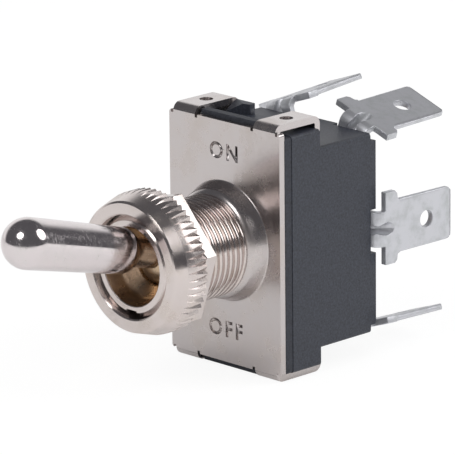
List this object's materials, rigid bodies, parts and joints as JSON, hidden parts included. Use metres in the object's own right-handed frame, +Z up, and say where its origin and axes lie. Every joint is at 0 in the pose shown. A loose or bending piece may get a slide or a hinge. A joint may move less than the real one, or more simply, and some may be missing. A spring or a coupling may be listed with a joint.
{
  "type": "panel toggle switch",
  "caption": "Panel toggle switch with a bat lever in a threaded bushing, a folded sheet frame on a moulded housing, and flat quick-connect blades fanned out behind.",
  "frame": {"origin": "on the bushing's axis, in the plane of the frame's front face", "axes": "-Y out of the panel along the bushing, +X to the right seen from the front, +Z up, towards which the lever is thrown at rest"},
  "size_m": [0.021, 0.0601, 0.0302],
  "materials": {
    "nickel_sheet": "satin nickel plate with a fine vertical grain",
    "nickel": "bright nickel plate on turned brass",
    "chrome": "polished chrome plate",
    "phenolic": "black phenolic moulding with a fine speckle",
    "fibre": "black insulating sheet",
    "tin": "matt tin plate on brass",
    "copper": "plain copper alloy",
    "nylon": "natural nylon",
    "steel": "plain steel"
  },
  "bodies": {
    "switch_body": {"frame": "nickel_sheet", "liner": "fibre", "housing": "phenolic", "bushing": "nickel", "terminal_top_left": "tin", "terminal_top_right": "tin", "terminal_middle_left": "tin", "terminal_middle_right": "tin", "terminal_bottom_left": "tin", "terminal_bottom_right": "tin", "rivet_top_left": "copper", "rivet_top_right": "copper", "rivet_middle_left": "copper", "rivet_middle_right": "copper", "rivet_bottom_left": "copper", "rivet_bottom_right": "copper"},
    "lever": {"lever": "chrome", "pivot_pin": "steel", "crossbar": "nylon", "plunger_left": "copper", "plunger_right": "copper", "plunger_spring_left": "steel", "plunger_spring_right": "steel"},
    "rocker_left": {"rocker_left": "copper"},
    "rocker_right": {"rocker_right": "copper"},
    "hex_nut": {"hex_nut": "nickel"},
    "dress_nut": {"dress_nut": "nickel"}
  },
  "joints": [
    {"name": "lever_tilt", "type": "hinge", "parent": "switch_body", "child": "lever", "pos_m": [0, -0.00803, 0], "axis": [1, 0, 0], "range_deg": [0, 29.84]},
    {"name": "rocker_left_tilt", "type": "hinge", "parent": "switch_body", "child": "rocker_left", "pos_m": [-0.004, 0.00878, 0], "axis": [1, 0, 0], "range_deg": [-16.1, 0]},
    {"name": "rocker_right_tilt", "type": "hinge", "parent": "switch_body", "child": "rocker_right", "pos_m": [0.004, 0.00878, 0], "axis": [1, 0, 0], "range_deg": [-16.1, 0]},
    {"name": "hex_nut_travel", "type": "slide", "parent": "switch_body", "child": "hex_nut", "axis": [0, 1, 0], "range_m": [0, 0.0065]},
    {"name": "dress_nut_travel", "type": "slide", "parent": "switch_body", "child": "dress_nut", "axis": [0, -1, 0], "range_m": [0, 0.003]}
  ],
  "couplings": [
    {"joint": "rocker_left_tilt", "follows": "lever_tilt", "ratio": -0.53619},
    {"joint": "rocker_right_tilt", "follows": "lever_tilt", "ratio": -0.53619}
  ]
}
